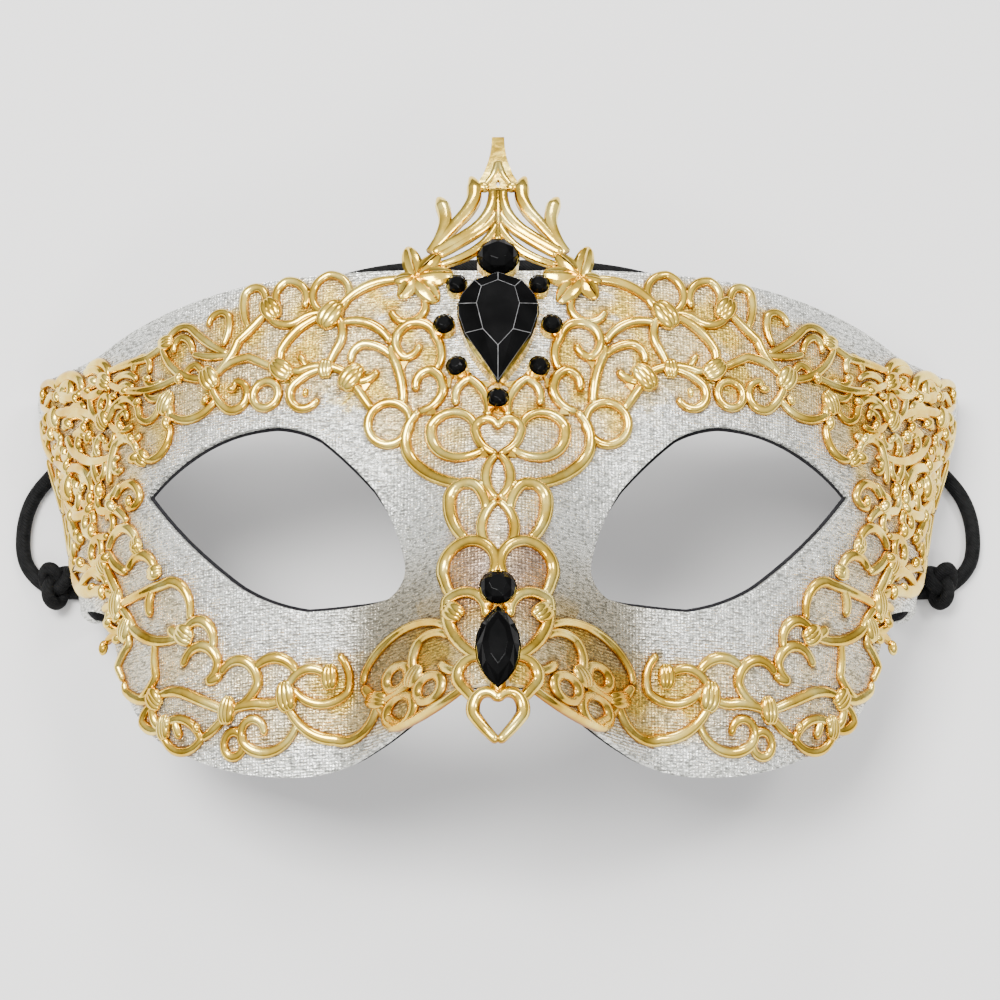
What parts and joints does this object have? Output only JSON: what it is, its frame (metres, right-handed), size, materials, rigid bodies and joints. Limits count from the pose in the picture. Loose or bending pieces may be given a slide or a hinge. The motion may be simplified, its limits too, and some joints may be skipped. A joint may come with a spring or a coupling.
{
  "type": "masquerade mask",
  "caption": "Half-face masquerade mask: cloth-covered curved shell with almond eye holes, gold openwork scrolls and crown, black faceted stones and an elastic cord.",
  "frame": {"origin": "on the table that the mask lies on, under the middle of the mask without its cord", "axes": "+Z out of the face, which looks up; +Y from the nose tip to the crown; +X to the right as the mask is looked at"},
  "size_m": [0.1854, 0.1174, 0.0727],
  "materials": {
    "silver_cloth": "fine ribbed metallic cloth, soft sheen",
    "black_lining": "matt felt",
    "gold": "polished pale gold plating",
    "black_stone": "faceted, high gloss",
    "black_elastic": "covered elastic, matt"
  },
  "bodies": {
    "root": {"mask_shell": "silver_cloth", "lining": "black_lining", "filigree": "gold", "stone_pear": "black_stone", "stone_top": "black_stone", "stone_foot": "black_stone", "stone_nose": "black_stone", "stone_marquise": "black_stone", "stone_side_upper_right": "black_stone", "stone_side_upper_left": "black_stone", "stone_side_middle_right": "black_stone", "stone_side_middle_left": "black_stone", "stone_side_lower_right": "black_stone", "stone_side_lower_left": "black_stone", "elastic_cord": "black_elastic"}
  },
  "joints": []
}
